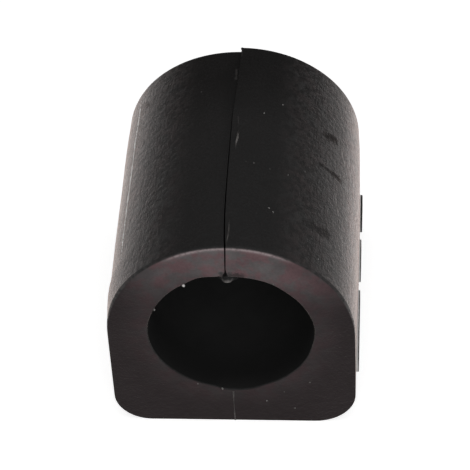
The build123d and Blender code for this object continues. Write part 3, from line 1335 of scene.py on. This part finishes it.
def dust_material(colours, groups):
    """Pale dust in crumbs, of which the large ones are the palest."""
    net, shader, place = new_material("pale dust")
    clouds = net.group(groups["mottle"], {"Place": place, "Cloud Size": 2.0}, "Clouds")
    tone = net.mixed(net.between(0.3, 0.7, clouds), scaled_colour(colours.dust, 0.5), (*colours.dust, 1))
    large = net.between(0.2 * MM, 0.27 * MM, net.stored("crumb_size"))
    net.join(net.mixed(large, tone, (*colours.palest, 1)), shader["Base Color"])
    shader["Roughness"].default_value = 0.7


def shared_material(scene, name):
    """One of the materials, all of which are made the first time."""
    if name not in bpy.data.materials:
        colours, sizes = scene.bushing_colours, scene.bushing_sizes
        groups = {
            "mottle": mottle_group(),
            "rub": rub_group(),
            "speck": speck_group(),
            "stroke": stroke_group(),
        }
        rubber_material(colours, sizes, groups)
        hollow_material(colours, groups)
        line_material(colours, groups)
        bar_material(colours, sizes, groups)
        dust_material(colours, groups)
    return bpy.data.materials[name]


# Operators


class BUSHING_OT_body(bpy.types.Operator):
    """Makes the moulded rubber body in one piece, with its bore and its cut"""

    bl_idname = "bushing.body"
    bl_label = "Rubber body"

    def execute(self, context):
        """Grows the body from its tree, and puts it in the place of the frame's node."""
        sizes = context.scene.bushing_sizes
        values = {
            "Wall Path": wall_path(sizes),
            "Wall Loop": wall_loop(sizes),
            "Top Radius": sizes.top_radius,
            "Cut Width": sizes.cut_width,
            "Lip Rise": sizes.lip_rise,
            "Unevenness": sizes.unevenness,
            "Material": shared_material(context.scene, "moulded rubber"),
            "Hollow Material": shared_material(context.scene, "bore rubber"),
        }
        body = grown("rubber_body", body_tree(), values)
        attributes = body.data.attributes
        kept = ("position", "material_index", "end_face", "rim", "cut_wall")
        for label in [label for label in attributes.keys() if label not in kept]:
            if not attributes[label].is_internal and not attributes[label].is_required:
                attributes.remove(attributes[label])
        dress(body, sharp_from=40.0)
        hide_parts(NODE)
        return {"FINISHED"}


class BUSHING_OT_mould_lines(bpy.types.Operator):
    """Makes the thin ridges that the joints of the mould left"""

    bl_idname = "bushing.mould_lines"
    bl_label = "Mould lines"

    def execute(self, context):
        """Grows each line along its own path."""
        sizes = context.scene.bushing_sizes
        flash = shared_material(context.scene, "flash rubber")
        tree = ridge_tree()
        lines = {
            "top_mould_line": top_line(sizes),
            "left_mould_line": left_line(sizes),
            "front_parting_line": face_line(sizes, -1),
            "rear_parting_line": face_line(sizes, 1),
        }
        for number, (name, path) in enumerate(lines.items()):
            values = {"Path": path, "Radius": sizes.line_radius, "Seed": sizes.seed + number}
            dress(grown(name, tree, {**values, "Material": flash}), 60.0, flash)
        return {"FINISHED"}


class BUSHING_OT_raised_bars(bpy.types.Operator):
    """Makes the blank raised bars on the right side"""

    bl_idname = "bushing.raised_bars"
    bl_label = "Raised bars"

    def execute(self, context):
        """Grows the bars and rounds their edges."""
        sizes = context.scene.bushing_sizes

        def round_edges(holder):
            bevel = holder.modifiers.new("edges", "BEVEL")
            bevel.width = BAR_BEVEL
            bevel.segments = 3

        rubber = shared_material(context.scene, "bar rubber")
        values = {"Points": bar_points(sizes), "Relief": sizes.bar_relief, "Height": sizes.bar_height}
        values["Material"] = rubber
        dress(grown("raised_bars", bar_tree(), values, round_edges), 50.0, rubber)
        return {"FINISHED"}


class BUSHING_OT_bore_flash(bpy.types.Operator):
    """Makes the tongue of flash that hangs in the front mouth of the bore"""

    bl_idname = "bushing.bore_flash"
    bl_label = "Bore flash"

    def execute(self, context):
        """Builds the tongue as a thin closed shell."""
        tongue = placed("bore_flash", tongue_mesh(context.scene.bushing_sizes))
        dress(tongue, 50.0, shared_material(context.scene, "flash rubber"))
        return {"FINISHED"}


class BUSHING_OT_crumbs(bpy.types.Operator):
    """Lays crumbs of pale dust on the top and the front face"""

    bl_idname = "bushing.crumbs"
    bl_label = "Crumbs"

    def execute(self, context):
        """Grows all crumbs as one piece."""
        sizes = context.scene.bushing_sizes
        dust = shared_material(context.scene, "pale dust")
        values = {"Points": crumb_points(sizes), "Seed": sizes.seed, "Material": dust}
        dress(grown("dust_crumbs", crumb_tree(), values), 60.0, dust)
        return {"FINISHED"}


class BUSHING_OT_stage(bpy.types.Operator):
    """Sets the floor, the soft studio light and the camera"""

    bl_idname = "bushing.stage"
    bl_label = "Stage"

    def execute(self, context):
        """Makes all that isn't part of the bushing."""
        make_floor(context.scene)
        make_surround(context.scene)
        make_lamps()
        make_camera(context.scene)
        return {"FINISHED"}


# The stage

# The camera: its turn to the right, height and roll in radians, and what it looks at
CAMERA_AZIMUTH = 0.091915
CAMERA_ELEVATION = 0.803472
CAMERA_ROLL = -0.057771
CAMERA_DISTANCE = 431.0 * MM
CAMERA_TARGET = Vector((-0.544, 0.0, -0.839)) * MM
FOCAL_PIXELS = 2393.1
IMAGE_PIXELS = 470
SENSOR_WIDTH = 36.0
FLOOR_WIDTH = 4.0
FLOOR_LIFT = 0.73         # how much light the floor itself gives off where it is seen

# The lamps: name, turn from the front to the right and height in degrees, distance, width, strength
LAMPS = (
    ("soft box", 0, 90, 0.45, 0.5, 0.95),
    ("high front fill", 5, 50, 0.7, 0.3, 0.9),
    ("low front fill", 5, 22, 0.8, 0.6, 1.5),
    ("left fill", -90, 15, 0.7, 0.4, 1.2),
    ("right fill", 90, 15, 0.7, 0.4, 2.15),
)


def make_floor(scene):
    """A wide pale floor under the base, which keeps the shadow of the bushing."""
    mesh = bpy.data.meshes.new("floor")
    half, z = FLOOR_WIDTH / 2, LOW.z
    corners = [(-half, -half, z), (half, -half, z), (half, half, z), (-half, half, z)]
    mesh.from_pydata(corners, [], [(0, 1, 2, 3)])
    material = bpy.data.materials.new("pale floor")
    material.use_nodes = True
    material.node_tree.nodes.clear()
    net = Net(material.node_tree)
    matt = net.node("ShaderNodeBsdfDiffuse", {"Color": (*scene.bushing_colours.floor, 1)})
    rays = net.node("ShaderNodeLightPath").outputs
    seen = net.maths("MAXIMUM", rays["Is Camera Ray"], rays["Is Glossy Ray"])
    seen = net.maths("MAXIMUM", seen, rays["Is Transmission Ray"])
    glow = net.node("ShaderNodeEmission", {"Strength": net.times(seen, FLOOR_LIFT)})
    both = net.node("ShaderNodeAddShader", {0: matt.outputs[0], 1: glow.outputs[0]})
    net.node("ShaderNodeOutputMaterial", {"Surface": both.outputs[0]})
    mesh.materials.append(material)
    placed("floor", mesh)


def make_surround(scene):
    """A surround that is white at the horizon and dark overhead."""
    world = bpy.data.worlds.new("soft surround")
    world.use_nodes = True
    world.node_tree.nodes.clear()
    net = Net(world.node_tree)
    direction = net.node("ShaderNodeTexCoord").outputs["Generated"]
    strength = net.between(0.0, 0.12, net.parts(direction)[2], 1.0, 0.04)
    sky = net.node("ShaderNodeBackground", {"Strength": strength})
    net.node("ShaderNodeOutputWorld", {"Surface": sky.outputs[0]})
    scene.world = world


def direction_to(turn, height):
    """The way to a spot that is turned from the front to the right and raised from level."""
    level = math.cos(height)
    return Vector((math.sin(turn) * level, -math.cos(turn) * level, math.sin(height)))


def make_lamps():
    """Plain soft boxes around the bushing, each as bright as its strength where 1 is white."""
    for name, turn, height, distance_away, width, strength in LAMPS:
        away = direction_to(math.radians(turn), math.radians(height))
        data = bpy.data.lights.new(name, "AREA")
        data.size = width
        data.energy = math.pi * width**2 * strength
        lamp = bpy.data.objects.new(name, data)
        lamp.location = away * distance_away
        lamp.rotation_euler = (-away).to_track_quat("-Z", "Y").to_euler()
        bpy.context.scene.collection.objects.link(lamp)


def make_camera(scene):
    """The camera, at the measured place, turn and focal length."""
    data = bpy.data.cameras.new("camera")
    data.sensor_width = SENSOR_WIDTH
    data.lens = SENSOR_WIDTH * FOCAL_PIXELS / IMAGE_PIXELS
    data.clip_start = 0.01
    camera = bpy.data.objects.new("camera", data)
    back = direction_to(CAMERA_AZIMUTH, CAMERA_ELEVATION)
    right = Vector((math.cos(CAMERA_AZIMUTH), math.sin(CAMERA_AZIMUTH), 0.0))
    up = back.cross(right)
    turned_right = right * math.cos(CAMERA_ROLL) + up * math.sin(CAMERA_ROLL)
    turned_up = up * math.cos(CAMERA_ROLL) - right * math.sin(CAMERA_ROLL)
    matrix = Matrix((turned_right, turned_up, back)).transposed().to_4x4()
    matrix.translation = CAMERA_TARGET + back * CAMERA_DISTANCE
    camera.matrix_world = matrix
    scene.collection.objects.link(camera)
    scene.camera = camera


class VIEW3D_PT_bushing(bpy.types.Panel):
    """Lists the pieces, sizes and colours of the bushing"""

    bl_label = "Bushing"
    bl_idname = "VIEW3D_PT_bushing"
    bl_space_type = "VIEW_3D"
    bl_region_type = "UI"
    bl_category = "Bushing"

    def draw(self, context):
        """Draws a button for each piece, and the properties below them."""
        for operator in OPERATORS:
            self.layout.operator(operator.bl_idname)
        for group in (context.scene.bushing_sizes, context.scene.bushing_colours):
            for label in group.__annotations__:
                self.layout.prop(group, label)


OPERATORS = (
    BUSHING_OT_body,
    BUSHING_OT_mould_lines,
    BUSHING_OT_raised_bars,
    BUSHING_OT_bore_flash,
    BUSHING_OT_crumbs,
    BUSHING_OT_stage,
)
CLASSES = (BushingSizes, BushingColours, *OPERATORS, VIEW3D_PT_bushing)


def register():
    """Registers the classes and hangs the properties on the scene."""
    for cls in CLASSES:
        bpy.utils.register_class(cls)
    bpy.types.Scene.bushing_sizes = PointerProperty(type=BushingSizes)
    bpy.types.Scene.bushing_colours = PointerProperty(type=BushingColours)


def unregister():
    """Takes the properties and the classes away again."""
    del bpy.types.Scene.bushing_sizes
    del bpy.types.Scene.bushing_colours
    for cls in reversed(CLASSES):
        bpy.utils.unregister_class(cls)


def main():
    """Builds every piece in order."""
    register()
    bpy.context.scene.view_settings.view_transform = "Standard"
    bpy.ops.bushing.body()
    bpy.ops.bushing.mould_lines()
    bpy.ops.bushing.raised_bars()
    bpy.ops.bushing.bore_flash()
    bpy.ops.bushing.crumbs()
    bpy.ops.bushing.stage()


if __name__ == "__main__":
    main()
